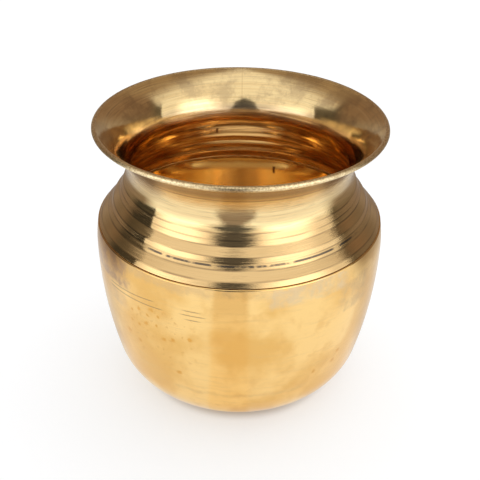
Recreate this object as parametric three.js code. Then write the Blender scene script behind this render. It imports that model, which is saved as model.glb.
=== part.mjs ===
// Brass kalash: a small round-bellied ritual water pot with a flared mouth.
// Two spun sheet shells meet at the shoulder seam, where the upper shell's skirt laps inside the
// body and a bead of braze runs along the skirt's lower edge.
// Millimetres, +Z up, origin at the centre of the flat base.

import * as THREE from 'three';

// Thickness of the brass sheet
const sheet = 0.75;

// Body: belly, the long wall arc and heel arc below it, and the bulge above it up to the seam
const bellyRadius = 51.95;
const bellyHeight = 58.4;
const wallRadius = 170;
const heelRadius = 22;
const bulge = { rise: 8.3, drawIn: 0.8 };

// Shoulder from the seam up: two ridges, each with a steep foot, a sloping face and a hollow above it,
// then a steep band. Each step has its rise and how far it draws in.
const seamSetback = 0.3;
const shoulder = {
  lowerFoot: { rise: 1.8, drawIn: 1.15 },
  lowerFace: { rise: 2.7, drawIn: 2.55 },
  lowerHollow: { rise: 1.85, drawIn: 1.25 },
  upperFoot: { rise: 1.75, drawIn: 0.7 },
  upperFace: { rise: 2.8, drawIn: 2.2 },
  upperHollow: { rise: 1.75, drawIn: 0.8 },
  band: { rise: 2.1, drawIn: 0.8 },
};

// Cove from the band up to the neck, and the flare from the neck up and out to the lip
const neckCove = { rise: 4.3, drawIn: 1.3 };
const flare = { rise: 17.35, reach: 10.9 };

// Folded hem of the lip
const hemSlit = 0.3;
const hemDepth = 1.5;

// Lap joint at the seam, and the braze along the lower edge of the lap
const lapDepth = 1.5;
const jointGap = 0.3;
const brazeHeight = 1.4;
const brazeToe = 0.15;
const brazeHollow = 0.15;

// Facets
const turns = 48;
const heelSteps = 7;
const wallSteps = 5;
const bulgeSteps = 3;
const coveSteps = 4;
const flareSteps = 9;
const hemSteps = 6;
const filletSteps = 3;

// Points on an arc, given its centre, radius and end angles, both ends included
function arc(centre, radius, fromAngle, toAngle, steps) {
  const points = [];
  for (let i = 0; i <= steps; i++) {
    const angle = fromAngle + ((toAngle - fromAngle) * i) / steps;
    points.push(new THREE.Vector2(centre.x + radius * Math.cos(angle), centre.y + radius * Math.sin(angle)));
  }
  return points;
}

// An arc between two points that bulges by crown to the right of the way from start to end
function crownedArc(start, end, crown, steps) {
  const chord = end.clone().sub(start);
  const radius = (chord.lengthSq() / 4 + crown * crown) / (2 * crown);
  const outward = new THREE.Vector2(chord.y, -chord.x).normalize();
  const centre = start.clone().add(end).multiplyScalar(0.5).addScaledVector(outward, crown - radius);
  const fromAngle = start.clone().sub(centre).angle();
  const sweep = 2 * Math.asin(chord.length() / 2 / radius);
  return arc(centre, radius, fromAngle, fromAngle + sweep, steps);
}

// The radius of an arc that starts upright and has risen and drawn in by the amounts given
function radiusFrom(step) {
  return (step.rise ** 2 + step.drawIn ** 2) / (2 * step.drawIn);
}

// The parallel of a path at a distance to its left, with mitred corners
function parallel(path, distance) {
  return path.map((point, i) => {
    const before = path[Math.max(i - 1, 0)];
    const after = path[Math.min(i + 1, path.length - 1)];
    const arriving = (i > 0 ? point.clone().sub(before) : after.clone().sub(point)).normalize();
    const leaving = (i < path.length - 1 ? after.clone().sub(point) : arriving.clone()).normalize();
    const normal = new THREE.Vector2(-arriving.y - leaving.y, arriving.x + leaving.x).normalize();
    const mitre = distance / (arriving.x * normal.y - arriving.y * normal.x);
    return point.clone().addScaledVector(normal, mitre);
  });
}

// Sheet metal spun to a path: the path is its outer face and the metal lies to the left of it
function sheetOutline(path) {
  return [...path, ...parallel(path, sheet).reverse()];
}

// A closed outline turned into a solid about the Z axis
function turned(name, outline, material) {
  const isOnAxis = outline[0].x === 0;
  const profile = isOnAxis ? outline : [...outline, outline[0]];
  const geometry = new THREE.LatheGeometry(profile, turns);
  geometry.rotateX(Math.PI / 2);
  const mesh = new THREE.Mesh(geometry, material);
  mesh.name = name;
  return mesh;
}

function brass(color, roughness) {
  return new THREE.MeshStandardMaterial({ color, roughness, metalness: 1 });
}

// The seam, where the bulge ends
const seamRadius = bellyRadius - bulge.drawIn;
const seamHeight = bellyHeight + bulge.rise;
const bulgeRadius = radiusFrom(bulge);
const bulgeCentre = new THREE.Vector2(bellyRadius - bulgeRadius, bellyHeight);

// Radius of the body's inner face at a height between belly and seam
function innerWallRadius(z) {
  const radius = bulgeRadius - sheet;
  return bulgeCentre.x + Math.sqrt(radius ** 2 - (z - bulgeCentre.y) ** 2);
}

// Body: flat base, heel arc, long wall arc and bulge, each tangent to the next
function bodyPath() {
  const wallCentre = new THREE.Vector2(bellyRadius - wallRadius, bellyHeight);
  const centreDistance = wallRadius - heelRadius;
  const centreRise = bellyHeight - heelRadius;
  const heelAngle = -Math.asin(centreRise / centreDistance);
  const heelCentre = new THREE.Vector2(wallCentre.x + centreDistance * Math.cos(heelAngle), heelRadius);
  const bulgeAngle = Math.asin(bulge.rise / bulgeRadius);
  return [
    new THREE.Vector2(0, 0),
    ...arc(heelCentre, heelRadius, -Math.PI / 2, heelAngle, heelSteps),
    ...arc(wallCentre, wallRadius, heelAngle, 0, wallSteps).slice(1),
    ...arc(bulgeCentre, bulgeRadius, 0, bulgeAngle, bulgeSteps).slice(1),
  ];
}

// Lap: the skirt clears the body's mouth and hangs inside it
const skirtRadius = seamRadius - sheet - jointGap;
const skirtFoot = seamHeight - lapDepth;
const ledgeHeight = seamHeight + jointGap;

// Point reached after rising and drawing in from another
function inwardOf(point, step) {
  return new THREE.Vector2(point.x - step.drawIn, point.y + step.rise);
}

// Shoulder and neck: skirt, ledge over the body's edge, two ridges, band, cove, flare and hemmed lip
function shoulderNeckPath() {
  const shoulderCorners = [new THREE.Vector2(seamRadius - seamSetback, ledgeHeight)];
  for (const step of Object.values(shoulder)) {
    shoulderCorners.push(inwardOf(shoulderCorners.at(-1), step));
  }
  const neck = inwardOf(shoulderCorners.at(-1), neckCove);

  const coveRadius = radiusFrom(neckCove);
  const coveCentre = new THREE.Vector2(neck.x + coveRadius, neck.y);
  const coveAngle = Math.PI + Math.asin(neckCove.rise / coveRadius);

  // The flare is upright at the neck and ends where it is tangent to the inside of the hem
  const curlRadius = hemSlit / 2;
  const lipRadius = curlRadius + sheet;
  const reach = flare.reach - lipRadius;
  const rise = flare.rise - lipRadius;
  const lipCentre = new THREE.Vector2(neck.x + reach, neck.y + rise);
  const flareRadius = (reach ** 2 + rise ** 2 - curlRadius ** 2) / (2 * (reach - curlRadius));
  const flareCentre = new THREE.Vector2(neck.x + flareRadius, neck.y);
  const flareAngle = Math.PI - Math.asin(rise / (flareRadius - curlRadius));

  const hemEnd = arc(lipCentre, curlRadius, flareAngle, flareAngle - Math.PI, hemSteps);
  const downFlare = new THREE.Vector2(-Math.sin(flareAngle), Math.cos(flareAngle));
  const hemEdge = hemEnd[hemSteps].clone().addScaledVector(downFlare, hemDepth);

  return [
    new THREE.Vector2(skirtRadius, skirtFoot),
    new THREE.Vector2(skirtRadius, ledgeHeight),
    ...shoulderCorners,
    ...arc(coveCentre, coveRadius, coveAngle, Math.PI, coveSteps).slice(1),
    ...arc(flareCentre, flareRadius, Math.PI, flareAngle, flareSteps).slice(1),
    ...hemEnd.slice(1),
    hemEdge,
  ];
}

// Braze: a fillet in the corner between the skirt's lower edge and the body's inner face
function brazeOutline() {
  const top = skirtFoot - jointGap;
  const bottom = top - brazeHeight;
  const heel = new THREE.Vector2(innerWallRadius(top) - jointGap, top);
  const toe = new THREE.Vector2(innerWallRadius(bottom) - jointGap, bottom);
  const shelf = new THREE.Vector2(skirtRadius - sheet, top);
  const tip = new THREE.Vector2(toe.x - brazeToe, bottom);
  const hollow = crownedArc(tip, shelf, brazeHollow, filletSteps);
  return [toe, heel, shelf, ...hollow.slice(1, -1).reverse(), tip];
}

const kalash = new THREE.Group();
kalash.add(
  turned('body', sheetOutline(bodyPath()), brass(0xd9a441, 0.28)),
  turned('shoulder_neck', sheetOutline(shoulderNeckPath()), brass(0xc9a868, 0.24)),
  turned('seam_braze', brazeOutline(), brass(0xb98a45, 0.42)),
);

export default kalash;
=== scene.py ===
# Brass kalash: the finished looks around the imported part, with its studio and camera.
# Metres, +Z up, in the part's own frame. Profile sizes are millimetres, as on a drawing.

import math

import bmesh
import bpy
import numpy as np
from mathutils import Matrix, Vector


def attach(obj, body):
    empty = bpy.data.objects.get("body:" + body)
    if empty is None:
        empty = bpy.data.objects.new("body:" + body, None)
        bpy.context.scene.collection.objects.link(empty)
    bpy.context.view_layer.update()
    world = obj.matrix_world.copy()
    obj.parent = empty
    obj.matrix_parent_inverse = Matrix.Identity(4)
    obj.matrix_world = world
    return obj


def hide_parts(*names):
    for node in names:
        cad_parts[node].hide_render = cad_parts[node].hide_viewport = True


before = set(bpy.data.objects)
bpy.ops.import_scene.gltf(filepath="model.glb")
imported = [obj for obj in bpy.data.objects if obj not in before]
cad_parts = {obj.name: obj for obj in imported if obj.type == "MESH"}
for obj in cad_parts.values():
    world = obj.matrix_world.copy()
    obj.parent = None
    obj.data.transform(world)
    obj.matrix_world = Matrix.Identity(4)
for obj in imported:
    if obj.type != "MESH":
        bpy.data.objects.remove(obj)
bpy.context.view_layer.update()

MM = 0.001

# Sheet and body
SHEET = 0.75
BELLY_RADIUS = 51.95
BELLY_HEIGHT = 58.4
WALL_RADIUS = 170
HEEL_RADIUS = 22
BULGE = {"rise": 8.3, "draw_in": 0.8}

# Shoulder from the seam up: two ridges, each with a steep foot, a sloping face and a hollow above,
# then a steep band, the cove up to the neck, the tight bend of the throat and the flare
SEAM_SETBACK = 0.3
SHOULDER = {
    "lower_foot": {"rise": 1.8, "draw_in": 1.15},
    "lower_face": {"rise": 2.7, "draw_in": 2.55},
    "lower_hollow": {"rise": 1.85, "draw_in": 1.25},
    "upper_foot": {"rise": 1.75, "draw_in": 0.7},
    "upper_face": {"rise": 2.8, "draw_in": 2.2},
    "upper_hollow": {"rise": 1.75, "draw_in": 0.8},
    "band": {"rise": 2.1, "draw_in": 0.8},
}
NECK_COVE = {"rise": 4.3, "draw_in": 1.3}
THROAT = {"radius": 6, "turn": math.radians(9)}
FLARE = {"rise": 17.35, "reach": 10.9}

# Folded lip, lap joint and braze
HEM_SLIT = 0.3
HEM_DEPTH = 1.5
LAP_DEPTH = 1.5
JOINT_GAP = 0.3
SEAM_OPENING = 0.1
BRAZE_OPENING = 0.06
BRAZE_HEIGHT = 1.4
BRAZE_TOE = 0.15
BRAZE_HOLLOW = 0.15
BRAZE_WETTING = 0.35

# Marks of the spinning tool: their widths, their gaps as shares of the spacing, and how they stop short
# of the ledge and of the hem
MARK_WIDTHS = (0.3, 0.75)
MARK_GAPS = (0.4, 1.6)
OUTER_MARKS = {"seed": 41, "spacing": 1.0, "depth": 0.006}
INNER_MARKS = {"seed": 42, "spacing": 1.3, "depth": 0.01}
MARKS_ABOVE_LEDGE = {"clear": 0.4, "fade": 0.5}
MARKS_BEFORE_HEM = {"clear": 1.5, "fade": 0.8}

# Unevenness: the wall out of round, the hem wavering along its depth and pressed outward, the braze
WALL_SWAY = 0.09
HEM_WAVE = 0.16
HEM_PRESS = 0.05
BRAZE_SQUEEZE = 0.12
BRAZE_LUMPS = 0.5

# The ripples they follow: the seed of each, and of how many waves it is the sum
WALL_RIPPLE = (11, 5)
WAVE_RIPPLE = (21, 40)
PRESS_RIPPLE = (22, 60)
BRAZE_RIPPLE = (31, 50)

# Mesh fineness: segments round the pot, the spacing of profile points, and how far corners are softened
TURNS = 256
ARC_STEPS = 48
FINE_STEPS = 4
BODY_SPACING = 0.45
NECK_SPACING = 0.2
BRAZE_SPACING = 0.12
BODY_SOFTNESS = 0.3
NECK_SOFTNESS = 0.16
NECK_INNER_SOFTNESS = 0.22
POINT_APART = 1e-6
ON_AXIS = 1e-7
WELD_REACH = 1e-6

# Looks that ride along the profile: how far up the lower hollow the groove's stain lies and how far it
# reaches, and the width of the lip's edge
GROOVE_SHARE = 0.6
GROOVE_REACH = 1.1
LIP_FADE = 0.2

SEAM_RADIUS = BELLY_RADIUS - BULGE["draw_in"]
SEAM_HEIGHT = BELLY_HEIGHT + BULGE["rise"]
SKIRT_RADIUS = SEAM_RADIUS - SHEET - JOINT_GAP
SKIRT_FOOT = SEAM_HEIGHT - LAP_DEPTH
LEDGE_HEIGHT = SEAM_HEIGHT + JOINT_GAP


# Profiles

def arc(centre, radius, from_angle, to_angle):
    angles = np.linspace(from_angle, to_angle, ARC_STEPS + 1)
    return np.stack([centre[0] + radius * np.cos(angles), centre[1] + radius * np.sin(angles)], 1)


def crowned_arc(start, end, crown):
    """An arc that bulges by crown to the right of the way from start to end."""
    start = np.array(start, float)
    end = np.array(end, float)
    chord = end - start
    length = np.hypot(*chord)
    radius = (length**2 / 4 + crown**2) / (2 * crown)
    outward = np.array([chord[1], -chord[0]]) / length
    centre = (start + end) / 2 + outward * (crown - radius)
    from_angle = math.atan2(start[1] - centre[1], start[0] - centre[0])
    return arc(centre, radius, from_angle, from_angle + 2 * math.asin(length / 2 / radius))


def radius_from(step):
    """The radius of an arc that starts upright and rises and draws in by the step."""
    return (step["rise"] ** 2 + step["draw_in"] ** 2) / (2 * step["draw_in"])


def inward_of(point, step):
    return (point[0] - step["draw_in"], point[1] + step["rise"])


def distinct(path):
    """The path without points that repeat the one before."""
    path = np.array(path, float)
    steps = np.hypot(*np.diff(path, axis=0).T)
    return path[np.concatenate([[True], steps > POINT_APART])]


def length_along(path):
    return np.concatenate([[0], np.cumsum(np.hypot(*np.diff(path, axis=0).T))])


def softened(points, step, softness):
    """Points a step apart, smoothed over a length, and turned over at the ends so that these stay."""
    reach = int(math.ceil(3 * softness / step))
    weights = np.exp(-0.5 * (np.arange(-reach, reach + 1) * step / softness) ** 2)
    weights /= weights.sum()
    before = 2 * points[0] - points[reach:0:-1]
    after = 2 * points[-1] - points[-2:-reach - 2:-1]
    padded = np.concatenate([before, points, after])
    return np.stack([np.convolve(padded[:, k], weights, "valid") for k in (0, 1)], 1)


def evenly(path, spacing, softness=0.0):
    """The path resampled at an even spacing, with its corners softened and its ends kept."""
    path = distinct(path)
    along = length_along(path)
    count = max(3, int(round(along[-1] / spacing)))
    fine = np.linspace(0, along[-1], count * FINE_STEPS + 1)
    points = np.stack([np.interp(fine, along, path[:, k]) for k in (0, 1)], 1)
    if softness > 0:
        points = softened(points, fine[1], softness)
    return points[::FINE_STEPS]


def normals_left(path):
    """Unit normals to the left of a path."""
    tangent = np.gradient(path, axis=0)
    tangent /= np.hypot(*tangent.T)[:, None]
    return np.stack([-tangent[:, 1], tangent[:, 0]], 1)


def parallel(path, distance):
    """The parallel of a path to its left, with mitred corners."""
    way = np.diff(path, axis=0)
    way /= np.hypot(*way.T)[:, None]
    arriving = np.concatenate([way[:1], way])
    leaving = np.concatenate([way, way[-1:]])
    normal = np.stack([-arriving[:, 1] - leaving[:, 1], arriving[:, 0] + leaving[:, 0]], 1)
    normal /= np.hypot(*normal.T)[:, None]
    mitre = distance / (arriving[:, 0] * normal[:, 1] - arriving[:, 1] * normal[:, 0])
    return path + normal * mitre[:, None]


def body_path():
    """Outer face from the centre of the base to the seam."""
    wall_centre = (BELLY_RADIUS - WALL_RADIUS, BELLY_HEIGHT)
    distance = WALL_RADIUS - HEEL_RADIUS
    heel_angle = -math.asin((BELLY_HEIGHT - HEEL_RADIUS) / distance)
    heel_centre = (wall_centre[0] + distance * math.cos(heel_angle), HEEL_RADIUS)
    bulge_radius = radius_from(BULGE)
    bulge_centre = (BELLY_RADIUS - bulge_radius, BELLY_HEIGHT)
    return np.concatenate([
        [[0, 0]],
        arc(heel_centre, HEEL_RADIUS, -math.pi / 2, heel_angle),
        arc(wall_centre, WALL_RADIUS, heel_angle, 0),
        arc(bulge_centre, bulge_radius, 0, math.asin(BULGE["rise"] / bulge_radius)),
    ])


SHOULDER_CORNERS = [(SEAM_RADIUS - SEAM_SETBACK, LEDGE_HEIGHT)]
for step in SHOULDER.values():
    SHOULDER_CORNERS.append(inward_of(SHOULDER_CORNERS[-1], step))
GROOVE = (1 - GROOVE_SHARE) * np.array(SHOULDER_CORNERS[2]) + GROOVE_SHARE * np.array(SHOULDER_CORNERS[3])
NECK = inward_of(SHOULDER_CORNERS[-1], NECK_COVE)


def neck_path():
    """Outer face from the skirt's foot up the ridges and the flare, round the hem to its raw edge."""
    cove_radius = radius_from(NECK_COVE)
    cove_centre = (NECK[0] + cove_radius, NECK[1])
    cove_angle = math.pi + math.asin(NECK_COVE["rise"] / cove_radius)
    throat_centre = (NECK[0] + THROAT["radius"], NECK[1])
    flare_start = (throat_centre[0] - THROAT["radius"] * math.cos(THROAT["turn"]),
                   throat_centre[1] + THROAT["radius"] * math.sin(THROAT["turn"]))
    curl = HEM_SLIT / 2
    lip = curl + SHEET
    lip_centre = (NECK[0] + FLARE["reach"] - lip, NECK[1] + FLARE["rise"] - lip)
    span = (lip_centre[0] - flare_start[0], lip_centre[1] - flare_start[1])
    toward = (math.cos(THROAT["turn"]), -math.sin(THROAT["turn"]))
    across = span[0] * toward[0] + span[1] * toward[1]
    flare_radius = (span[0] ** 2 + span[1] ** 2 - curl**2) / (2 * (across - curl))
    flare_centre = (flare_start[0] + flare_radius * toward[0], flare_start[1] + flare_radius * toward[1])
    flare_angle = math.atan2(lip_centre[1] - flare_centre[1], lip_centre[0] - flare_centre[0])
    hem = arc(lip_centre, curl, flare_angle, flare_angle - math.pi)
    down_flare = np.array([-math.sin(flare_angle), math.cos(flare_angle)])
    return np.concatenate([
        [[SKIRT_RADIUS, SKIRT_FOOT], [SKIRT_RADIUS, LEDGE_HEIGHT]],
        SHOULDER_CORNERS,
        arc(cove_centre, cove_radius, cove_angle, math.pi),
        arc(throat_centre, THROAT["radius"], math.pi, math.pi - THROAT["turn"]),
        arc(flare_centre, flare_radius, math.pi - THROAT["turn"], flare_angle),
        hem,
        [hem[-1] + down_flare * HEM_DEPTH],
    ])


def inner_wall_radius(z):
    """Radius of the body's inner face at a height between belly and seam."""
    bulge_radius = radius_from(BULGE)
    across = (bulge_radius - SHEET) ** 2 - (z - BELLY_HEIGHT) ** 2
    return BELLY_RADIUS - bulge_radius + math.sqrt(across)


def braze_outline():
    top = SKIRT_FOOT - BRAZE_OPENING
    bottom = SKIRT_FOOT - JOINT_GAP - BRAZE_HEIGHT
    heel = (inner_wall_radius(top) - BRAZE_OPENING, top)
    toe = (inner_wall_radius(bottom) - BRAZE_OPENING, bottom)
    skirt_face = SKIRT_RADIUS - SHEET - BRAZE_OPENING
    corner = (skirt_face, top)
    wetted = (skirt_face, SKIRT_FOOT + BRAZE_WETTING)
    tip = (toe[0] - BRAZE_TOE, bottom)
    hollow = crowned_arc(tip, (skirt_face - BRAZE_TOE, SKIRT_FOOT), BRAZE_HOLLOW)
    return np.concatenate([[toe, heel, corner, wetted], hollow[::-1], [toe]])


# Meshes

def link(thing):
    bpy.context.scene.collection.objects.link(thing)


def lathe(name, profile, on_axis, shape, attributes=None):
    """A closed outline, in millimetres, turned about Z into a smooth mesh.

    shape(points, angle) moves the outline at each angle, and attributes are floats per outline point."""
    count = len(profile)
    verts = []
    for i in range(TURNS):
        angle = 2 * math.pi * i / TURNS
        ring = shape(profile, angle)
        verts.append(np.stack([
            ring[:, 0] * math.cos(angle), ring[:, 0] * math.sin(angle), ring[:, 1]], 1) * MM)
    verts = np.concatenate(verts)
    faces = []
    spans = count - 1 if on_axis else count
    for i in range(TURNS):
        here = i * count
        there = (i + 1) % TURNS * count
        for k in range(spans):
            n = (k + 1) % count
            faces.append((here + k, there + k, there + n, here + n))
    mesh = bpy.data.meshes.new(name)
    mesh.from_pydata(verts.tolist(), [], faces)
    for key, values in (attributes or {}).items():
        layer = mesh.attributes.new(key, "FLOAT", "POINT")
        layer.data.foreach_set("value", np.tile(values, TURNS).astype(np.float32))
    if on_axis:
        weld(mesh)
    mesh.update()
    mesh.validate()
    mesh.shade_smooth()
    piece = bpy.data.objects.new(name, mesh)
    link(piece)
    return piece


def weld(mesh):
    """Joins the ring of points on the axis into one point at each end."""
    work = bmesh.new()
    work.from_mesh(mesh)
    on_axis = [v for v in work.verts if math.hypot(v.co.x, v.co.y) < ON_AXIS]
    bmesh.ops.remove_doubles(work, verts=on_axis, dist=WELD_REACH)
    work.to_mesh(mesh)
    work.free()


def dress(piece, node, material):
    piece.data.materials.append(material)
    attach(piece, "root")
    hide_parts(node)


def ripple(seed, waves):
    """A sum of sines with seeded phases, about one high, for gentle hand-made unevenness."""
    phases = np.random.default_rng(seed).uniform(0, 2 * math.pi, waves)
    rates = np.arange(1, waves + 1)
    return lambda angle: float(np.sum(np.sin(rates * angle + phases) / rates**0.5)) / waves**0.5


def near(points, spot, reach):
    """1 at a spot on the profile, falling to 0 at a distance from it."""
    distance = np.hypot(points[:, 0] - spot[0], points[:, 1] - spot[1])
    return np.clip(1 - distance / reach, 0, 1)


def spinning_marks(along, seed, spacing, depth):
    """Shallow ridges and grooves that a spinning tool leaves, at uneven places along a profile."""
    random = np.random.default_rng(seed)
    marks = np.zeros(len(along))
    place = 0.0
    while place < along[-1]:
        place += random.uniform(*MARK_GAPS) * spacing
        width = random.uniform(*MARK_WIDTHS)
        marks += random.normal(0, depth) * np.exp(-0.5 * ((along - place) / width) ** 2)
    return marks


def spun(path, along, marks):
    """The path with spinning marks in it, but not on the skirt and not at the lip."""
    above_ledge = path[:, 1] - LEDGE_HEIGHT - MARKS_ABOVE_LEDGE["clear"]
    before_hem = along[-1] - HEM_DEPTH - MARKS_BEFORE_HEM["clear"] - along
    share = np.clip(above_ledge / MARKS_ABOVE_LEDGE["fade"], 0, 1)
    share *= np.clip(before_hem / MARKS_BEFORE_HEM["fade"], 0, 1)
    return path + normals_left(path) * (spinning_marks(along, **marks) * share)[:, None]


def make_body(material):
    outer = evenly(body_path(), BODY_SPACING, BODY_SOFTNESS)
    outer[0] = (0, 0)
    outer[-1, 1] += JOINT_GAP - SEAM_OPENING
    inner = outer + normals_left(outer) * SHEET
    inner[0] = (0, SHEET)
    profile = np.concatenate([outer, inner[::-1]])
    along = length_along(outer)
    sway = ripple(*WALL_RIPPLE)

    def shape(points, angle):
        lift = np.clip(points[:, 1] / BELLY_HEIGHT, 0, 1)
        amount = lift * (1 - lift) * 4 * WALL_SWAY * sway(angle)
        moved = points.copy()
        moved[:, 0] -= np.abs(amount) * np.clip(points[:, 0] / BELLY_RADIUS, 0, 1)
        return moved

    piece = lathe("kalash_body", profile, True, shape, {
        "along": np.concatenate([along, along[::-1]]) * MM,
        "inside": np.concatenate([np.zeros(len(outer)), np.ones(len(inner))]),
    })
    dress(piece, "body", material)


def make_neck(material):
    coarse = distinct(neck_path())
    coarse_inner = parallel(coarse, SHEET)
    path = evenly(coarse, NECK_SPACING, NECK_SOFTNESS)
    inner = evenly(coarse_inner, NECK_SPACING, NECK_INNER_SOFTNESS)
    along = length_along(path)
    inner_along = np.interp(length_along(inner), length_along(coarse_inner), length_along(coarse))
    path = spun(path, along, OUTER_MARKS)
    inner = spun(inner, inner_along, INNER_MARKS)
    profile = np.concatenate([path, inner[::-1]])
    full_along = np.concatenate([along, inner_along[::-1]])
    is_inner = np.arange(len(profile)) >= len(path)
    past_curl = full_along - along[-1] + HEM_DEPTH
    hem_share = np.clip(past_curl / HEM_DEPTH, 0, 1)
    lip = np.clip((past_curl + math.pi * HEM_SLIT / 2) / LIP_FADE, 0, 1) * is_inner
    wave = ripple(*WAVE_RIPPLE)
    press = ripple(*PRESS_RIPPLE)
    down = path[-1] - path[-3]
    down /= np.hypot(*down)
    away = np.array([-down[1], down[0]])

    def shape(points, angle):
        moved = points + hem_share[:, None] * (down * HEM_WAVE * wave(angle))
        return moved + (hem_share**2)[:, None] * away * HEM_PRESS * press(angle)

    piece = lathe("kalash_shoulder_neck", profile, False, shape, {
        "along": full_along * MM,
        "inside": is_inner * (1 - hem_share),
        "stain": near(profile, GROOVE, GROOVE_REACH),
        "hem": hem_share * is_inner,
        "lip": lip,
    })
    dress(piece, "shoulder_neck", material)


def make_braze(material):
    outline = evenly(braze_outline(), BRAZE_SPACING)[:-1]
    lumps = ripple(*BRAZE_RIPPLE)
    middle = outline.mean(0)

    def shape(points, angle):
        squeeze = 1 - BRAZE_SQUEEZE * (1 + BRAZE_LUMPS * lumps(angle)) * (points[:, 0] < middle[0])
        moved = points.copy()
        moved[:, 0] = middle[0] + (points[:, 0] - middle[0]) * squeeze
        return moved

    piece = lathe("kalash_seam_braze", outline, False, shape)
    dress(piece, "seam_braze", material)


# Materials

class Nodes:
    """Short calls for building a node tree."""

    def __init__(self, tree):
        self.tree = tree
        self.tree.nodes.clear()

    def add(self, kind, inputs=None, **settings):
        node = self.tree.nodes.new(kind)
        for key, value in settings.items():
            setattr(node, key, value)
        for key, value in (inputs or {}).items():
            self.put(node.inputs[key], value)
        return node

    def put(self, socket, value):
        if isinstance(value, bpy.types.NodeSocket):
            self.tree.links.new(value, socket)
        else:
            socket.default_value = value

    def math(self, operation, a, b=0.0):
        return self.add("ShaderNodeMath", {0: a, 1: b}, operation=operation).outputs[0]

    def times(self, a, b):
        return self.math("MULTIPLY", a, b)

    def plus(self, a, b):
        return self.math("ADD", a, b)

    def minus(self, a, b):
        return self.math("SUBTRACT", a, b)

    def size(self, a):
        return self.math("ABSOLUTE", a)

    def vector(self, operation, a, b=(0, 0, 0)):
        second = "Scale" if operation == "SCALE" else 1
        node = self.add("ShaderNodeVectorMath", {0: a, second: b}, operation=operation)
        is_number = operation in ("LENGTH", "DISTANCE")
        return node.outputs["Value" if is_number else "Vector"]

    def parts(self, vector):
        return self.add("ShaderNodeSeparateXYZ", {"Vector": vector}).outputs

    def blend(self, factor, a, b):
        """The number a where the factor is 0, and b where it is 1."""
        return self.add("ShaderNodeMix", {"Factor": factor, "A": a, "B": b}).outputs[0]

    def mix(self, factor, a, b, blend="MIX"):
        """The colour a where the factor is 0, and b where it is 1."""
        node = self.add("ShaderNodeMix", {0: factor}, data_type="RGBA", blend_type=blend)
        self.put(node.inputs[6], a)
        self.put(node.inputs[7], b)
        return node.outputs[2]

    def ramp(self, value, low, high, to_low=0.0, to_high=1.0):
        """value mapped smoothly from low..high to to_low..to_high, and held outside."""
        inputs = dict(enumerate((value, low, high, to_low, to_high)))
        return self.add("ShaderNodeMapRange", inputs, interpolation_type="SMOOTHSTEP").outputs[0]

    def noise(self, vector, scale, detail=2.0, roughness=0.5):
        return self.add("ShaderNodeTexNoise", {
            "Vector": vector, "Scale": scale, "Detail": detail, "Roughness": roughness}).outputs[0]

    def attribute(self, name):
        return self.add("ShaderNodeAttribute", attribute_name=name).outputs["Fac"]

    def place(self):
        return self.add("ShaderNodeTexCoord").outputs["Object"]

    def light_path(self, name):
        return self.add("ShaderNodeLightPath").outputs[name]

    def emission(self, tone, strength=1.0):
        return self.add("ShaderNodeEmission", {"Color": tone, "Strength": strength}).outputs[0]

    def clear(self):
        return self.add("ShaderNodeBsdfTransparent", {"Color": WHITE}).outputs[0]

    def both(self, a, b):
        return self.add("ShaderNodeAddShader", {0: a, 1: b}).outputs[0]

    def either(self, factor, a, b):
        return self.add("ShaderNodeMixShader", {0: factor, 1: a, 2: b}).outputs[0]


def colour(red, green, blue):
    return (red, green, blue, 1)


WHITE = colour(1, 1, 1)


class Shell:
    """Where a point of a shell lies: x, y and height in millimetres, and its bearing in degrees.

    inside and outside are 1 on the inner and the outer face, and along is metres up the profile."""

    def __init__(self, nodes):
        self.place = nodes.place()
        self.along = nodes.attribute("along")
        self.inside = nodes.attribute("inside")
        self.outside = nodes.minus(1.0, self.inside)
        self.x, self.y, self.height = nodes.parts(nodes.vector("SCALE", self.place, 1 / MM))
        self.bearing = nodes.times(bearing_of(nodes, self.x, self.y), math.degrees(1))


def bearing_of(nodes, x, y):
    """Angle round from the front, in radians, positive to the right."""
    return nodes.math("ARCTAN2", x, nodes.times(y, -1))


def turned_noise(nodes, shell, around, across, detail=2.0, roughness=0.5):
    """Noise that is stretched round the pot: slow round it, quick along its profile."""
    flat = nodes.vector("NORMALIZE", nodes.vector("MULTIPLY", shell.place, (1, 1, 0)))
    ring = nodes.vector("SCALE", flat, around)
    rise = nodes.add("ShaderNodeCombineXYZ", {"Z": nodes.times(shell.along, across)}).outputs[0]
    return nodes.noise(nodes.vector("ADD", ring, rise), 1.0, detail, roughness)


def between(nodes, value, low, high, soft):
    """1 from low to high, with soft ends."""
    return nodes.times(nodes.ramp(value, low - soft, low + soft),
                       nodes.ramp(value, high - soft, high + soft, 1, 0))


def new_material(name):
    material = bpy.data.materials.new(name)
    material.use_nodes = True
    return material, Nodes(material.node_tree)


# How far the gloss is drawn out, and the turn that draws it across the lines
NECK_DRAWN_OUT = 0.78
BODY_DRAWN_OUT = 0.5
ACROSS_LINES = 0.25


def brass_shader(nodes, base, roughness, drawn_out, normal):
    """Brass whose gloss is drawn out by the fine lines that run round the pot."""
    tangent = nodes.add("ShaderNodeTangent", direction_type="RADIAL", axis="Z")
    shader = nodes.add("ShaderNodeBsdfPrincipled", {
        "Base Color": base, "Metallic": 1.0, "Roughness": roughness, "Anisotropic": drawn_out,
        "Anisotropic Rotation": ACROSS_LINES, "Normal": normal, "Tangent": tangent.outputs[0]})
    nodes.add("ShaderNodeOutputMaterial", {"Surface": shader.outputs[0]})


# Nicks inside, at the back: bearing from and to, height from and to, and the painted shade in them
NECK_NICKS = [(-167.5, -166, 79.5, 82), (-168, -166.2, 70.4, 71.6)]
WALL_NICKS = [(163.5, 164.6, 57.5, 60.5)]
NICK_BEARING_EDGE = 0.5
NICK_HEIGHT_EDGE = 0.3
NICK_SHADE = colour(0.2, 0.1, 0.04)


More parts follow.
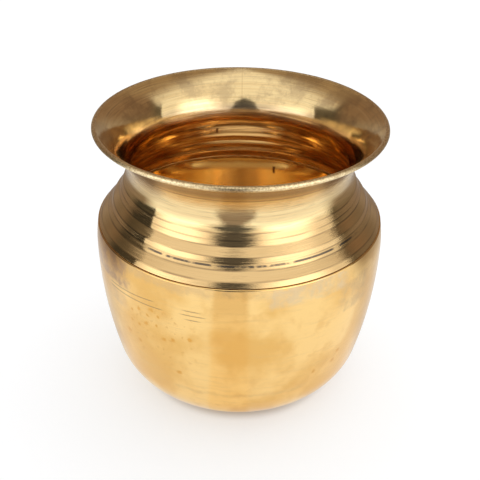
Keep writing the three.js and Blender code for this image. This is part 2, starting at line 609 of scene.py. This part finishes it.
def nicked(nodes, shell, base, nicks):
    """The base colour with painted shade in the nicks in the shell's inner face."""
    total = 0.0
    for left, right, low, high in nicks:
        mark = nodes.times(between(nodes, shell.bearing, left, right, NICK_BEARING_EDGE),
                           between(nodes, shell.height, low, high, NICK_HEIGHT_EDGE))
        total = nodes.math("MAXIMUM", mark, total)
    # Painted shade in the nicks, in place of dents
    return nodes.mix(nodes.times(total, shell.inside), base, NICK_SHADE)


# Brass of the upper shell

NECK_PALE = colour(0.92, 0.71, 0.37)
NECK_DULL = colour(0.84, 0.61, 0.3)
NECK_CLOUD = colour(0.86, 0.64, 0.32)
BAND_BROWN = colour(0.5, 0.35, 0.18)
LINE_BROWN = colour(0.46, 0.32, 0.17)
DEEP_RED = colour(0.77, 0.58, 0.4)
RING_BROWN = colour(0.34, 0.22, 0.12)
RIDGE_WARM = colour(0.76, 0.5, 0.23)
# Partly dirt, partly painted shade in the corners between ridge faces
CORNER_DIRT_AND_SHADE = colour(0.36, 0.24, 0.12)
SMOKE_BROWN = colour(0.54, 0.39, 0.21)
FRECKLE_BROWN = colour(0.34, 0.24, 0.14)
RIM_BROWN = colour(0.52, 0.38, 0.22)
STREAK_BROWN = colour(0.46, 0.3, 0.14)
GROOVE_DARK = colour(0.17, 0.13, 0.09)
# Painted shade below the lip, with some tarnishing in it
UNDER_LIP_SHADE_AND_TARNISH = colour(0.34, 0.22, 0.12)
SCORE_BROWN = colour(0.36, 0.25, 0.14)
BEAD_BRIGHT = colour(0.98, 0.82, 0.52)
BEAD_DULL = colour(0.62, 0.47, 0.26)
# Painted shade in the gaps where the hem's raw edge stands off the flare
EDGE_GAP_SHADE = colour(0.14, 0.09, 0.05)

# Heights that a look ends or starts between
RIDGES_END = (80.5, 84)
SMOKE_START = (86, 94)
DEEP_END = (88, 94)
STREAK_START = (90, 93)
UNDER_LIP_SHADE_START = (92.5, 96.5)
RIM_START = (97.5, 100.5)

# Lines: half their width, from full to none, and the height of the scored one
CORNER_LINE = (0.08, 0.34)
SCORE_LINE = (0.1, 0.3)
SCORE_HEIGHT = 94

# The thin streak at the back of the flare: its sides, their softness, and where it starts going back
STREAK_SIDES = (0.2, 0.5)
STREAK_EDGE = 0.2
STREAK_BACK = (30, 40)

# Depth in front at which the groove's dashes end, at both sides of the pot
DASHES_END = (-30, -22)

# Shares of the hem's depth at which the dashes of painted shade along its raw edge start and end
EDGE_START = (0.45, 0.55)
EDGE_END = (0.78, 0.86)


def turned_metal(nodes, shell, broad, middle, lines):
    """The turned metal itself: bands and fine lines round the pot, and soft clouds."""
    cloud = nodes.noise(shell.place, 55, 3)
    base = nodes.mix(nodes.ramp(broad, 0.35, 0.7), NECK_PALE, NECK_DULL)
    base = nodes.mix(nodes.ramp(cloud, 0.45, 0.75, 0, 0.5), base, NECK_CLOUD)
    base = nodes.mix(nodes.ramp(middle, 0.56, 0.72, 0, 0.45), base, BAND_BROWN)
    return nodes.mix(nodes.ramp(lines, 0.58, 0.7, 0, 0.45), base, LINE_BROWN)


def deep_rings(nodes, shell, base, deep):
    """Down in the neck: redder metal, with broad dark rings."""
    base = nodes.mix(nodes.times(deep, 0.85), base, DEEP_RED)
    bands = turned_noise(nodes, shell, 1.0, 520, 4, 0.65)
    rings = nodes.times(deep, nodes.ramp(bands, 0.45, 0.56, 0, 0.85))
    return nodes.mix(rings, base, RING_BROWN)


def ridge_lines(nodes, shell, base):
    """Warmer ridges, with a brown line here and there in each of their corners, partly dirt and partly
    painted shade in the crease.
    """
    ridged = nodes.times(shell.outside, nodes.ramp(shell.height, *RIDGES_END, 0.7, 0))
    base = nodes.mix(ridged, base, RIDGE_WARM)
    # Where the corner lines show: partly dirt, partly painted crease shade
    crease_dirt_and_shade = nodes.ramp(turned_noise(nodes, shell, 3, 500), 0.36, 0.6, 0.15, 0.75)
    crease_dirt_and_shade = nodes.times(shell.outside, crease_dirt_and_shade)
    for _, corner_height in SHOULDER_CORNERS[1:]:
        off = nodes.size(nodes.minus(shell.height, corner_height))
        line = nodes.times(nodes.ramp(off, *CORNER_LINE, 1, 0), crease_dirt_and_shade)
        base = nodes.mix(line, base, CORNER_DIRT_AND_SHADE)
    return base


def flare_marks(nodes, shell, base, lines, smoky):
    """Smoky clouds with freckles in them, lines below the rim, and a thin streak at the back."""
    base = nodes.mix(smoky, base, SMOKE_BROWN)
    freckles = nodes.ramp(nodes.noise(shell.place, 420, 4, 0.7), 0.54, 0.7, 0, 0.5)
    base = nodes.mix(nodes.times(smoky, freckles), base, FRECKLE_BROWN)
    rim_lines = nodes.times(nodes.ramp(shell.height, *RIM_START), nodes.ramp(lines, 0.5, 0.62, 0, 0.5))
    base = nodes.mix(rim_lines, base, RIM_BROWN)
    streak = nodes.times(between(nodes, shell.x, *STREAK_SIDES, STREAK_EDGE),
                         nodes.ramp(shell.y, *STREAK_BACK))
    streak = nodes.times(streak, nodes.ramp(shell.height, *STREAK_START, 0, 0.4))
    return nodes.mix(nodes.times(streak, shell.inside), base, STREAK_BROWN)


def groove_dashes(nodes, shell, base, groove):
    """Dark dashes of uneven length along the groove above the lower ridge, in front."""
    dashes = nodes.times(nodes.ramp(turned_noise(nodes, shell, 13, 260), 0.34, 0.5),
                         nodes.ramp(nodes.noise(shell.place, 60, 1), 0.3, 0.46))
    dashes = nodes.times(dashes, nodes.ramp(shell.y, *DASHES_END, 1, 0))
    return nodes.mix(nodes.times(nodes.ramp(groove, 0.6, 0.76), dashes), base, GROOVE_DARK)


def lip_marks(nodes, shell, base, lip):
    """Painted shade, partly tarnishing, and a scored line below the lip, its bright ribbed bead, and dashes
    of painted shade along the raw edge.
    """
    outside = nodes.minus(1.0, nodes.math("MAXIMUM", shell.inside, lip))
    # Painted shade outside, below the lip, with some tarnishing in it
    under_lip_shade = nodes.times(outside, nodes.ramp(shell.height, *UNDER_LIP_SHADE_START, 0, 0.92))
    base = nodes.mix(under_lip_shade, base, UNDER_LIP_SHADE_AND_TARNISH)
    off = nodes.size(nodes.minus(shell.height, SCORE_HEIGHT))
    scored = nodes.times(outside, nodes.ramp(off, *SCORE_LINE, 0.8, 0))
    base = nodes.mix(scored, base, SCORE_BROWN)
    ribs = nodes.ramp(nodes.noise(shell.place, 1500, 2, 0.6), 0.4, 0.62)
    bead = nodes.mix(ribs, BEAD_BRIGHT, BEAD_DULL)
    base = nodes.mix(nodes.times(lip, 0.85), base, bead)
    hem = nodes.attribute("hem")
    edge = nodes.times(nodes.ramp(hem, *EDGE_START), nodes.ramp(hem, *EDGE_END, 1, 0))
    dashes = nodes.ramp(turned_noise(nodes, shell, 30, 300, 1), 0.46, 0.56)
    # Dashes of painted shade where the hem's raw edge stands off the flare
    return nodes.mix(nodes.times(edge, dashes), base, EDGE_GAP_SHADE)


def neck_roughness(nodes, shell, lines, groove, lip, smoky):
    outer = nodes.ramp(lines, 0.3, 0.7, 0.085, 0.125)
    mouth = nodes.ramp(shell.height, *DEEP_END, 0.13, 0.1)
    roughness = nodes.blend(shell.inside, outer, mouth)
    roughness = nodes.plus(roughness, nodes.ramp(groove, 0.2, 1, 0, 0.15))
    roughness = nodes.plus(roughness, nodes.times(lip, 0.22))
    return nodes.plus(roughness, nodes.times(smoky, 0.06))


def neck_bump(nodes, shell, broad, middle, lines, deep):
    """Turning lines, strong outside and faint in the mouth, with slow waves down in the neck."""
    fine = nodes.ramp(shell.inside, 0, 1, 1.2, 0.1)
    coarse = nodes.plus(nodes.ramp(shell.inside, 0, 1, 0.6, 0.1), nodes.times(deep, 0.7))
    slow = nodes.plus(nodes.ramp(shell.inside, 0, 1, 0.4, 0.1), nodes.times(deep, 1.6))
    height = nodes.plus(nodes.times(middle, coarse), nodes.times(broad, slow))
    height = nodes.plus(nodes.times(lines, fine), height)
    return nodes.add("ShaderNodeBump", {"Strength": 0.6, "Distance": 0.04 * MM, "Height": height}).outputs[0]


def neck_brass():
    material, nodes = new_material("turned_brass")
    shell = Shell(nodes)
    lip = nodes.attribute("lip")
    groove = nodes.attribute("stain")
    broad = turned_noise(nodes, shell, 1.2, 900, 3, 0.6)
    middle = turned_noise(nodes, shell, 3.0, 2100, 2, 0.6)
    lines = turned_noise(nodes, shell, 2.5, 5200, 3, 0.65)
    deep = nodes.times(shell.inside, nodes.ramp(shell.height, *DEEP_END, 1, 0))
    smoke = nodes.ramp(nodes.noise(shell.place, 62, 5, 0.65), 0.47, 0.6, 0, 0.65)
    smoky = nodes.times(smoke, nodes.ramp(shell.height, *SMOKE_START))

    base = turned_metal(nodes, shell, broad, middle, lines)
    base = deep_rings(nodes, shell, base, deep)
    base = ridge_lines(nodes, shell, base)
    base = flare_marks(nodes, shell, base, lines, smoky)
    base = groove_dashes(nodes, shell, base, groove)
    base = nicked(nodes, shell, base, NECK_NICKS)
    base = lip_marks(nodes, shell, base, lip)
    roughness = neck_roughness(nodes, shell, lines, groove, lip, smoky)
    bump = neck_bump(nodes, shell, broad, middle, lines, deep)
    brass_shader(nodes, base, roughness, NECK_DRAWN_OUT, bump)
    return material


# Brass of the body, and the braze

BODY_GOLD = colour(0.96, 0.65, 0.26)
BODY_CLOUD = colour(0.82, 0.49, 0.15)
MOTTLE_BROWN = colour(0.8, 0.47, 0.15)
STREAK_DULL = colour(0.78, 0.5, 0.2)
INSIDE_GOLD = colour(0.98, 0.78, 0.44)
SPECK_ORANGE = colour(0.74, 0.37, 0.07)
SCRATCH_BROWN = colour(0.3, 0.19, 0.1)
DOT_BROWN = colour(0.72, 0.38, 0.1)
BRAZE_PALE = colour(0.72, 0.48, 0.22)
BRAZE_DARK = colour(0.5, 0.31, 0.14)

# Marks outside, by bearing from the front in degrees and height in millimetres.
# Specks: bearing, height and size
SPECKS = [(-37, 46, 1.3), (-40, 51, 1.1), (-34, 53, 1.2), (-48, 38, 1.6), (-29, 42, 1.2), (-25, 43, 1.1),
          (-18, 45, 1.3), (-42, 36, 1.0), (-24, 28, 1.4), (45, 31, 1.4), (43, 27, 1.5), (33, 26, 1.3),
          (-44, 49, 0.8), (-36, 50, 0.9), (-41, 44, 0.8), (-32, 47, 0.8), (-31, 51, 0.7), (-45, 44, 0.8)]
SPECK_CORE = 0.3
SPECK_BLOTCH = 1.6

# Scratches: bearing and height at each end
SCRATCHES = [(-58, 54.3, -33, 56.9), (-58, 52.9, -29, 54.8), (-20, 57.2, -14, 57.2),
             (-21, 55.5, -12, 55.5), (-19, 53.7, -14, 53.7)]
SCRATCH_LINE = (0.08, 0.26)
SCRATCH_END = 1.5

# Duller or paler areas, the second and third being painted shade just below the seam at the front: bearing
# from and to, height from and to, colour and amount
AREAS = [(-76, -46, 55.5, 67, (0.56, 0.35, 0.18), 1.0), (-46, 10, 63.5, 67, (0.66, 0.45, 0.22), 0.6),
         (11, 44, 60, 66.3, (0.72, 0.56, 0.36), 0.65), (42, 58, 49, 61, (0.66, 0.44, 0.2), 0.7),
         (-60, -47, 47, 53, (0.66, 0.44, 0.26), 0.45), (-28, 30, 19, 20.6, (0.7, 0.45, 0.18), 0.4)]
AREA_BEARING_EDGE = {"ragged": 12, "soft": 3}
AREA_HEIGHT_EDGE = {"ragged": 5, "soft": 0.9}

# The flank with many small dots: bearing and height from, to and how soft its edges are
DOTTED_BEARING = (-52, -16, 6)
DOTTED_HEIGHT = (30, 55, 4)


def on_wall(bearing, height):
    """A point on the body's wall, in metres."""
    below = BELLY_HEIGHT - height
    radius = BELLY_RADIUS - WALL_RADIUS + math.sqrt(WALL_RADIUS**2 - below**2)
    angle = math.radians(bearing)
    return (radius * math.sin(angle) * MM, -radius * math.cos(angle) * MM, height * MM)


# Duller or paler patches, and painted shade in the bands just below the seam at the front
def patches_and_seam_shade(nodes, shell, base):
    ragged = nodes.minus(nodes.noise(shell.place, 150, 5, 0.7), 0.5)
    patchiness = nodes.ramp(nodes.noise(shell.place, 240, 4, 0.65), 0.34, 0.6, 0.35, 1)
    height = nodes.plus(shell.height, nodes.times(ragged, AREA_HEIGHT_EDGE["ragged"]))
    bearing = nodes.plus(shell.bearing, nodes.times(ragged, AREA_BEARING_EDGE["ragged"]))
    for left, right, low, high, tone, amount in AREAS:
        area = nodes.times(between(nodes, bearing, left, right, AREA_BEARING_EDGE["soft"]),
                           between(nodes, height, low, high, AREA_HEIGHT_EDGE["soft"]))
        area = nodes.times(nodes.times(area, shell.outside), amount)
        base = nodes.mix(nodes.times(area, patchiness), base, colour(*tone))
    return base


def specks(nodes, shell, base):
    blotch = nodes.minus(nodes.noise(shell.place, 900, 2), 0.5)
    blotch = nodes.times(blotch, SPECK_BLOTCH * MM)
    for bearing, height, size in SPECKS:
        away = nodes.vector("DISTANCE", shell.place, on_wall(bearing, height))
        away = nodes.plus(away, blotch)
        speck = nodes.ramp(away, SPECK_CORE * MM, size * MM, 0.85, 0)
        base = nodes.mix(speck, base, SPECK_ORANGE)
    return base


def scratches(nodes, shell, base):
    for start, start_height, end, end_height in SCRATCHES:
        slope = (end_height - start_height) / (end - start)
        line = nodes.plus(nodes.times(shell.bearing, slope), start_height - slope * start)
        off = nodes.size(nodes.minus(shell.height, line))
        stroke = nodes.times(nodes.ramp(off, *SCRATCH_LINE, 0.75, 0),
                             between(nodes, shell.bearing, start, end, SCRATCH_END))
        base = nodes.mix(nodes.times(stroke, shell.outside), base, SCRATCH_BROWN)
    return base


def small_dots(nodes, shell, base):
    flank = nodes.times(between(nodes, shell.bearing, *DOTTED_BEARING),
                        between(nodes, shell.height, *DOTTED_HEIGHT))
    dots = nodes.ramp(nodes.noise(shell.place, 620, 2, 0.6), 0.6, 0.7, 0, 0.55)
    return nodes.mix(nodes.times(flank, dots), base, DOT_BROWN)


def body_brass():
    material, nodes = new_material("polished_brass")
    shell = Shell(nodes)
    cloud = nodes.noise(shell.place, 38, 4, 0.55)
    mottle = nodes.noise(shell.place, 160, 3, 0.6)
    lines = turned_noise(nodes, shell, 3, 2600, 2, 0.6)
    streaks = turned_noise(nodes, shell, 4, 700, 3, 0.65)

    base = nodes.mix(nodes.ramp(cloud, 0.4, 0.62), BODY_GOLD, BODY_CLOUD)
    base = nodes.mix(nodes.ramp(mottle, 0.5, 0.72, 0, 0.45), base, MOTTLE_BROWN)
    base = nodes.mix(nodes.ramp(streaks, 0.5, 0.72, 0, 0.35), base, STREAK_DULL)
    base = patches_and_seam_shade(nodes, shell, base)
    base = specks(nodes, shell, base)
    base = scratches(nodes, shell, base)
    base = small_dots(nodes, shell, base)
    base = nodes.mix(shell.inside, base, INSIDE_GOLD)
    base = nicked(nodes, shell, base, WALL_NICKS)

    outer = nodes.plus(nodes.ramp(cloud, 0.3, 0.7, 0.11, 0.17), nodes.ramp(lines, 0.4, 0.7, 0, 0.04))
    roughness = nodes.blend(shell.inside, outer, 0.09)
    uneven = nodes.times(nodes.plus(lines, mottle), nodes.ramp(shell.inside, 0, 1, 1, 0.2))
    bump = nodes.add("ShaderNodeBump", {"Strength": 0.3, "Distance": 0.03 * MM, "Height": uneven})
    brass_shader(nodes, base, roughness, BODY_DRAWN_OUT, bump.outputs[0])
    return material


def braze_metal():
    material, nodes = new_material("braze_metal")
    cloud = nodes.noise(nodes.place(), 300, 3)
    base = nodes.mix(nodes.ramp(cloud, 0.35, 0.65), BRAZE_PALE, BRAZE_DARK)
    bump = nodes.add("ShaderNodeBump", {"Strength": 0.5, "Distance": 0.1 * MM, "Height": cloud})
    shader = nodes.add("ShaderNodeBsdfPrincipled", {
        "Base Color": base, "Metallic": 1.0,
        "Roughness": nodes.ramp(cloud, 0.3, 0.7, 0.35, 0.55), "Normal": bump.outputs[0]})
    nodes.add("ShaderNodeOutputMaterial", {"Surface": shader.outputs[0]})
    return material


# Floor and surround. Bearings are in radians from the front, and reaches in metres from the axis

FLOOR_SIZE = 60.0
FLOOR_PAPER = colour(0.416, 0.425, 0.436)
FLOOR_GLOW = colour(0.64, 0.641, 0.643)

# Shade on the floor close round the base
CONTACT_REACH = (0.0325, 0.0395)
CONTACT_SHADE = colour(0.27, 0.25, 0.25)

# What mirrors see on the floor: dark at the sides, with the paper's own light taken down there too,
# a dim strip in front of the pot, and brighter far out in front
SIDES_START = (1.35, 1.75)
SIDES_END = (2.7, 3.0)
SIDES_PAPER = colour(0.13, 0.11, 0.09)
SIDES_PAPER_REACH = (0.085, 0.24)
SIDES_NEAR = colour(0.7, 0.66, 0.6)
SIDES_FAR = colour(0.24, 0.18, 0.14)
STRIP_LEFT = (-0.32, -0.25)
STRIP_RIGHT = (0.07, 0.15)
STRIP_REACH = (0.1, 0.14)
STRIP_FAR_REACH = (0.2, 0.4)
STRIP_NEAR = colour(0.97, 0.87, 0.7)
STRIP_MIDDLE = colour(0.7, 0.55, 0.34)
STRIP_FAR = colour(0.73, 0.62, 0.46)
SIDES_REACH = (0.09, 0.2)
FRONT_REACH = (0.25, 0.45)
FRONT_FAR = colour(1.35, 1.35, 1.35)

# How brightly the surround lights what isn't mirrored
SURROUND_LIGHT = 0.28

# The surround in mirrors: how far back and up it darkens, and its bright wings after many bounces
DARKENING = (1.75, 2.75)
ROOM_LIGHT = colour(1.02, 1.0, 0.96)
ROOM_DARK = colour(0.36, 0.27, 0.19)
WING_BEARING = (1.3, 1.8)
WING_RISE = (0.55, 1.15)
WING_EDGE = 0.05
WING_BOUNCES = 2.5
WING_LIGHT = colour(3.4, 3.3, 2.9)


def seen_ray(nodes):
    """1 for rays that show the background: straight from the camera, mirrored or through glass."""
    seen = nodes.math("MAXIMUM", nodes.light_path("Is Camera Ray"), nodes.light_path("Is Glossy Ray"))
    return nodes.math("MAXIMUM", seen, nodes.light_path("Is Transmission Ray"))


def floor_in_mirrors(nodes, reach):
    """The tone of the floor for mirrors, and where the paper's own light is taken down for them."""
    x, y, _ = nodes.parts(nodes.place())
    bearing = bearing_of(nodes, x, y)
    sideways = nodes.size(bearing)
    sides = nodes.times(nodes.ramp(sideways, *SIDES_START), nodes.ramp(sideways, *SIDES_END, 1, 0))
    strip = nodes.times(nodes.ramp(bearing, *STRIP_LEFT), nodes.ramp(bearing, *STRIP_RIGHT, 1, 0))
    near_strip = nodes.mix(nodes.ramp(reach, *STRIP_REACH), STRIP_NEAR, STRIP_MIDDLE)
    strip_tone = nodes.mix(nodes.ramp(reach, *STRIP_FAR_REACH), near_strip, STRIP_FAR)
    side_tone = nodes.mix(nodes.ramp(reach, *SIDES_REACH), SIDES_NEAR, SIDES_FAR)
    front_tone = nodes.mix(nodes.ramp(reach, *FRONT_REACH), WHITE, FRONT_FAR)
    tone = nodes.mix(sides, front_tone, side_tone)
    dimmed = nodes.times(sides, nodes.ramp(reach, *SIDES_PAPER_REACH))
    return nodes.mix(strip, tone, strip_tone, "MULTIPLY"), dimmed


def flat_mesh(name, points):
    mesh = bpy.data.meshes.new(name)
    mesh.from_pydata(points, [], [tuple(range(len(points)))])
    return mesh


def make_floor():
    half = FLOOR_SIZE / 2
    mesh = flat_mesh("floor", [(-half, -half, 0), (half, -half, 0), (half, half, 0), (-half, half, 0)])
    floor = bpy.data.objects.new("floor", mesh)
    link(floor)
    material, nodes = new_material("floor_paper")
    is_mirrored = nodes.light_path("Is Glossy Ray")
    reach = nodes.vector("LENGTH", nodes.place())
    mirrored_tone, dimmed = floor_in_mirrors(nodes, reach)
    sheet = nodes.mix(nodes.times(is_mirrored, dimmed), FLOOR_PAPER, SIDES_PAPER)
    paper = nodes.add("ShaderNodeBsdfDiffuse", {"Color": sheet}).outputs[0]
    contact = nodes.mix(nodes.ramp(reach, *CONTACT_REACH), CONTACT_SHADE, WHITE)
    tone = nodes.mix(is_mirrored, contact, mirrored_tone)
    glow = nodes.emission(nodes.mix(1.0, FLOOR_GLOW, tone, "MULTIPLY"), seen_ray(nodes))
    nodes.add("ShaderNodeOutputMaterial", {"Surface": nodes.both(paper, glow)})
    mesh.materials.append(material)


def make_world():
    """White all round, and for mirrors a room that darkens up behind the sides."""
    world = bpy.data.worlds.new("studio")
    bpy.context.scene.world = world
    world.use_nodes = True
    nodes = Nodes(world.node_tree)
    x, y, z = nodes.parts(nodes.add("ShaderNodeTexCoord").outputs["Generated"])
    sideways = nodes.size(bearing_of(nodes, x, y))
    rise = nodes.math("ARCSINE", z)
    behind = nodes.ramp(nodes.plus(sideways, rise), *DARKENING)
    room = nodes.mix(behind, ROOM_LIGHT, ROOM_DARK)
    wings = nodes.times(between(nodes, sideways, *WING_BEARING, WING_EDGE),
                        between(nodes, rise, *WING_RISE, WING_EDGE))
    is_deep = nodes.math("GREATER_THAN", nodes.light_path("Glossy Depth"), WING_BOUNCES)
    room = nodes.mix(nodes.times(wings, is_deep), room, WING_LIGHT)
    tone = nodes.mix(nodes.light_path("Is Glossy Ray"), WHITE, room)
    strength = nodes.ramp(seen_ray(nodes), 0, 1, SURROUND_LIGHT, 1.0)
    sky = nodes.add("ShaderNodeBackground", {"Color": tone, "Strength": strength})
    nodes.add("ShaderNodeOutputWorld", {"Surface": sky.outputs[0]})


# Lights, and the cards that shape what the brass mirrors

TOP_LIGHT_STRENGTH = 0.72 * math.pi
TOP_LIGHT_ANGLE = math.radians(85)
TOP_LIGHT_TILT = (math.radians(-12), math.radians(8), 0)

# Soft boxes: bearing in degrees, then metres, and the share of their half width that is at full light
LEFT_BOX = {"azimuth": -52, "distance": 0.55, "low": 0.02, "high": 0.34, "width": 0.62, "peak": 1.18}
RIGHT_BOX = {"azimuth": 44, "distance": 0.55, "low": 0.02, "high": 0.5, "width": 0.66, "peak": 1.25}
BOX_CORE = 0.25

# The dark gap between the boxes: its narrow foot, its wide body, how its top narrows, and its peak
GAP_DISTANCE = 0.235
GAP_SHADE = colour(0.11, 0.11, 0.115)
FOOT_LEFT = -0.06
FOOT_RIGHT = 0.018
FOOT_LOW = 0.045
FOOT_HIGH = 0.09
GAP_LEFT = -0.095
GAP_RIGHT = 0.057
GAP_LOW = 0.098
GAP_HIGH = 0.13
GAP_SHOULDERS = [(0.015, 0.155), (0.027, 0.2)]
GAP_PEAK = [(0.005, 0.235), (-0.015, 0.255), (-0.04, 0.235)]

# The dim strip over the floor: its outline from above, its height, and how many bounces still see it
DIM_STRIP = [(-0.0145, -0.052), (-0.0163, -0.071), (-0.05, -0.2), (0.014, -0.2), (0.0103, -0.071),
             (0.0107, -0.052)]
DIM_STRIP_HEIGHT = 0.0672
DIM_STRIP_SHADE = colour(0.33, 0.28, 0.26)
DIM_STRIP_BOUNCES = 1.5

# Side screens: curved from a bearing in front round to the back, and higher towards the back.
# Bearings and rises are in degrees
SCREEN_COLUMNS = 24
SCREEN_ROWS = 16
SCREEN_RADIUS = 0.6
SCREEN_TO = 180
SCREEN_LOW_TOP = 48
SCREEN_HIGH_TOP = 72
LEFT_SCREEN = {"side": -1, "start": 81, "dark_end": 0.12, "dark": colour(0.05, 0.048, 0.042)}
RIGHT_SCREEN = {"side": 1, "start": 88, "dark_end": 0.0, "dark": colour(0.15, 0.13, 0.1)}

# Their tones: from the dark front to the back, on to the far rear, from low to top, and the clear edge
SCREEN_FRONT_FADE = 0.16
SCREEN_REAR = (0.3, 0.58)
SCREEN_TOP = (0.12, 0.3)
SCREEN_EDGE = (0.3, 0.38)
SCREEN_EDGE_LIFT = 0.1
REAR_DIM = colour(0.22, 0.18, 0.145)
REAR_PALE = colour(0.42, 0.36, 0.3)
TOP_DARK = colour(0.13, 0.112, 0.088)
TOP_BROWN = colour(0.26, 0.178, 0.128)


def make_top_light():
    """Wide even light from above, which lays the soft shadow round the base."""
    data = bpy.data.lights.new("top_light", "SUN")
    data.energy = TOP_LIGHT_STRENGTH
    data.angle = TOP_LIGHT_ANGLE
    lamp = bpy.data.objects.new("top_light", data)
    lamp.rotation_euler = TOP_LIGHT_TILT
    lamp.visible_glossy = False
    link(lamp)


def mirror_card(name, mesh, matrix, surface):
    """A card that only mirrors see."""
    card = bpy.data.objects.new(name, mesh)
    card.matrix_world = matrix
    link(card)
    material, nodes = new_material(name)
    nodes.add("ShaderNodeOutputMaterial", {"Surface": surface(nodes)})
    mesh.materials.append(material)
    card.visible_camera = False
    card.visible_diffuse = False
    card.visible_shadow = False


def facing(azimuth, distance, height):
    """A matrix at a bearing from the pot, +Z of the thing there pointing at the pot's axis."""
    angle = math.radians(azimuth)
    place = Vector((math.sin(angle) * distance, -math.cos(angle) * distance, height))
    toward = Vector((-place.x, -place.y, 0)).normalized()
    turn = toward.to_track_quat("-Z", "Y").to_matrix().to_4x4()
    return Matrix.Translation(place) @ turn


def soft_box(name, azimuth, distance, low, high, width, peak):
    """A light box that is brightest in its middle and fades to nothing at its edges."""
    half = width / 2
    tall = (high - low) / 2

    def surface(nodes):
        x, y, _ = nodes.parts(nodes.place())
        across = nodes.ramp(nodes.size(x), half * BOX_CORE, half, 1, 0)
        up = nodes.ramp(nodes.size(y), tall * BOX_CORE, tall, 1, 0)
        light = nodes.emission(WHITE, nodes.times(nodes.times(across, up), peak))
        return nodes.both(light, nodes.clear())

    mesh = flat_mesh(name, [(-half, -tall, 0), (half, -tall, 0), (half, tall, 0), (-half, tall, 0)])
    mirror_card(name, mesh, facing(azimuth, distance, (low + high) / 2), surface)


def make_camera_gap():
    """The dark gap between the soft boxes, which the front of the pot mirrors."""
    right = [(GAP_RIGHT - narrower, height) for narrower, height in GAP_SHOULDERS]
    left = [(GAP_LEFT + narrower, height) for narrower, height in reversed(GAP_SHOULDERS)]
    outline = [(FOOT_LEFT, FOOT_LOW), (FOOT_RIGHT, FOOT_LOW), (FOOT_RIGHT, FOOT_HIGH),
               (GAP_RIGHT, GAP_LOW), (GAP_RIGHT, GAP_HIGH), *right, *GAP_PEAK, *left,
               (GAP_LEFT, GAP_HIGH), (GAP_LEFT, GAP_LOW), (FOOT_LEFT, FOOT_HIGH)]
    mesh = flat_mesh("camera_gap", [(x, -GAP_DISTANCE, z) for x, z in outline])
    mirror_card("camera_gap", mesh, Matrix.Identity(4), lambda nodes: nodes.emission(GAP_SHADE))


def make_table_strip():
    """The dim strip in front of the pot, which only the neck mirrors, looking down on its upper side."""
    mesh = flat_mesh("table_strip", [(x, y, DIM_STRIP_HEIGHT) for x, y in DIM_STRIP])

    def surface(nodes):
        is_under = nodes.add("ShaderNodeNewGeometry").outputs["Backfacing"]
        is_late = nodes.math("GREATER_THAN", nodes.light_path("Glossy Depth"), DIM_STRIP_BOUNCES)
        is_hidden = nodes.math("MAXIMUM", is_under, is_late)
        return nodes.either(is_hidden, nodes.emission(DIM_STRIP_SHADE), nodes.clear())

    mirror_card("table_strip", mesh, Matrix.Identity(4), surface)


def screen_mesh(name, side, start):
    """A piece of a sphere round the pot, from a bearing to the back, its top edge rising as it goes."""
    verts = []
    for i in range(SCREEN_COLUMNS + 1):
        share = i / SCREEN_COLUMNS
        azimuth = math.radians(start + (SCREEN_TO - start) * share) * side
        top = SCREEN_LOW_TOP + (SCREEN_HIGH_TOP - SCREEN_LOW_TOP) * share
        for k in range(SCREEN_ROWS + 1):
            rise = math.radians(top * k / SCREEN_ROWS)
            reach = SCREEN_RADIUS * math.cos(rise)
            verts.append((math.sin(azimuth) * reach, -math.cos(azimuth) * reach,
                          SCREEN_RADIUS * math.sin(rise)))
    faces = []
    for i in range(SCREEN_COLUMNS):
        for k in range(SCREEN_ROWS):
            here = i * (SCREEN_ROWS + 1) + k
            there = here + SCREEN_ROWS + 1
            faces.append((here, there, there + 1, here + 1))
    mesh = bpy.data.meshes.new(name)
    mesh.from_pydata(verts, [], faces)
    return mesh


def side_screen(name, side, start, dark_end, dark):
    """A dark curved screen at one side, from the end of the lights round towards the back."""

    def surface(nodes):
        _, y, z = nodes.parts(nodes.place())
        back = nodes.ramp(y, dark_end, dark_end + SCREEN_FRONT_FADE)
        rear = nodes.mix(nodes.ramp(y, *SCREEN_REAR), REAR_DIM, REAR_PALE)
        low = nodes.mix(back, dark, rear)
        top = nodes.mix(back, TOP_DARK, TOP_BROWN)
        tone = nodes.mix(nodes.ramp(z, *SCREEN_TOP), low, top)
        over_edge = nodes.ramp(nodes.minus(z, nodes.times(back, SCREEN_EDGE_LIFT)), *SCREEN_EDGE)
        return nodes.either(over_edge, nodes.emission(tone), nodes.clear())

    mirror_card(name, screen_mesh(name, side, start), Matrix.Identity(4), surface)


def make_studio():
    make_floor()
    make_world()
    make_top_light()
    soft_box("left_box", **LEFT_BOX)
    soft_box("right_box", **RIGHT_BOX)
    make_camera_gap()
    make_table_strip()
    side_screen("left_screen", **LEFT_SCREEN)
    side_screen("right_screen", **RIGHT_SCREEN)


# Camera

CAMERA_AIM = Vector((0.00031, 0, 0.05434))
CAMERA_DISTANCE = 0.32117
CAMERA_PITCH = math.radians(31.43)
CAMERA_ROLL = math.radians(0.753)
CAMERA_LENS = 64.5
CAMERA_SENSOR = 36
CAMERA_CLIP = 0.01


def make_camera():
    data = bpy.data.cameras.new("camera")
    data.lens = CAMERA_LENS
    data.sensor_width = CAMERA_SENSOR
    data.clip_start = CAMERA_CLIP
    camera = bpy.data.objects.new("camera", data)
    back = Vector((0, -math.cos(CAMERA_PITCH), math.sin(CAMERA_PITCH)))
    turn = Matrix.Rotation(math.pi / 2 - CAMERA_PITCH, 4, "X") @ Matrix.Rotation(CAMERA_ROLL, 4, "Z")
    camera.matrix_world = Matrix.Translation(CAMERA_AIM + back * CAMERA_DISTANCE) @ turn
    link(camera)
    bpy.context.scene.camera = camera


# Scene

MIRROR_BOUNCES = 12


make_body(body_brass())
make_neck(neck_brass())
make_braze(braze_metal())
make_studio()
make_camera()
bpy.context.scene.view_settings.view_transform = "Standard"
bpy.context.scene.cycles.glossy_bounces = MIRROR_BOUNCES
bpy.context.view_layer.update()
